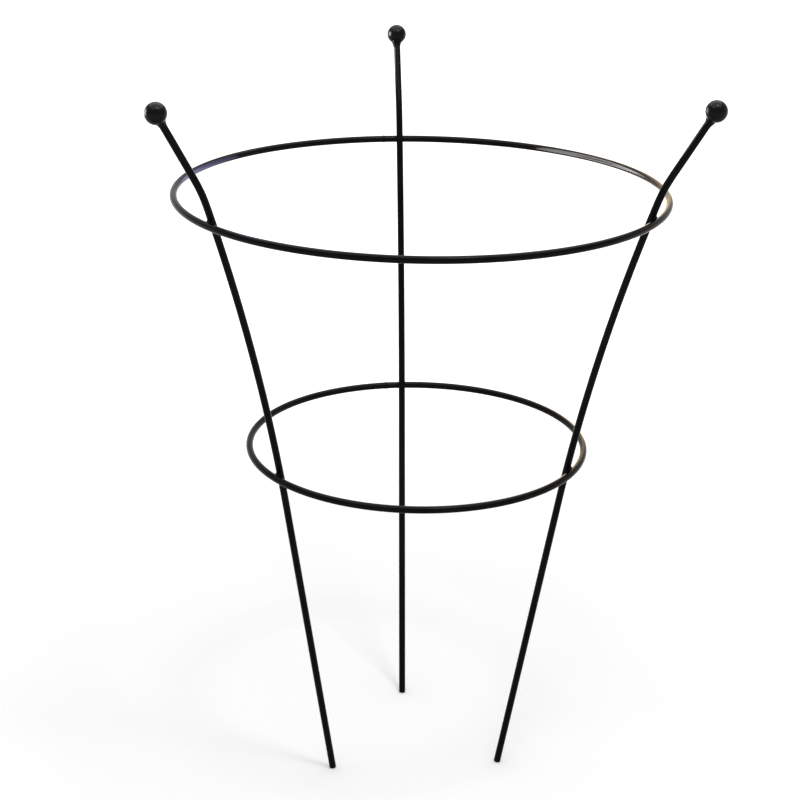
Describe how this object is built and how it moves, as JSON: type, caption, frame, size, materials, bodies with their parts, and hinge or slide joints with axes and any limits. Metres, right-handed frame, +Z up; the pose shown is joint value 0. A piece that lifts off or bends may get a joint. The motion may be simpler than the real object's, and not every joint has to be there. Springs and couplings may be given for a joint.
{
  "type": "plant support ring stake",
  "caption": "Black coated wire plant support whose bent legs flare upwards to ball tips, with a smaller ring below and a wider ring above welded around them.",
  "frame": {"origin": "on the middle axis of the rings, at ground level between the feet", "axes": "+Z up along the middle axis, +Y towards the back leg, +X to the right seen from the front"},
  "size_m": [0.4242, 0.4435, 0.6],
  "materials": {
    "coated_rod": "gloss black plastic coat on steel rod",
    "coated_ball": "gloss black plastic coat on a steel ball",
    "coated_weld": "gloss black plastic coat over weld metal"
  },
  "bodies": {
    "root": {"leg_back": "coated_rod", "leg_left": "coated_rod", "leg_right": "coated_rod", "ball_back": "coated_ball", "ball_left": "coated_ball", "ball_right": "coated_ball", "ball_weld_back": "coated_weld", "ball_weld_left": "coated_weld", "ball_weld_right": "coated_weld", "lower_ring": "coated_rod", "lower_ring_joint": "coated_weld", "lower_weld_back": "coated_weld", "lower_weld_left": "coated_weld", "lower_weld_right": "coated_weld", "upper_ring": "coated_rod", "upper_ring_joint": "coated_weld", "upper_weld_back": "coated_weld", "upper_weld_left": "coated_weld", "upper_weld_right": "coated_weld"}
  },
  "joints": []
}
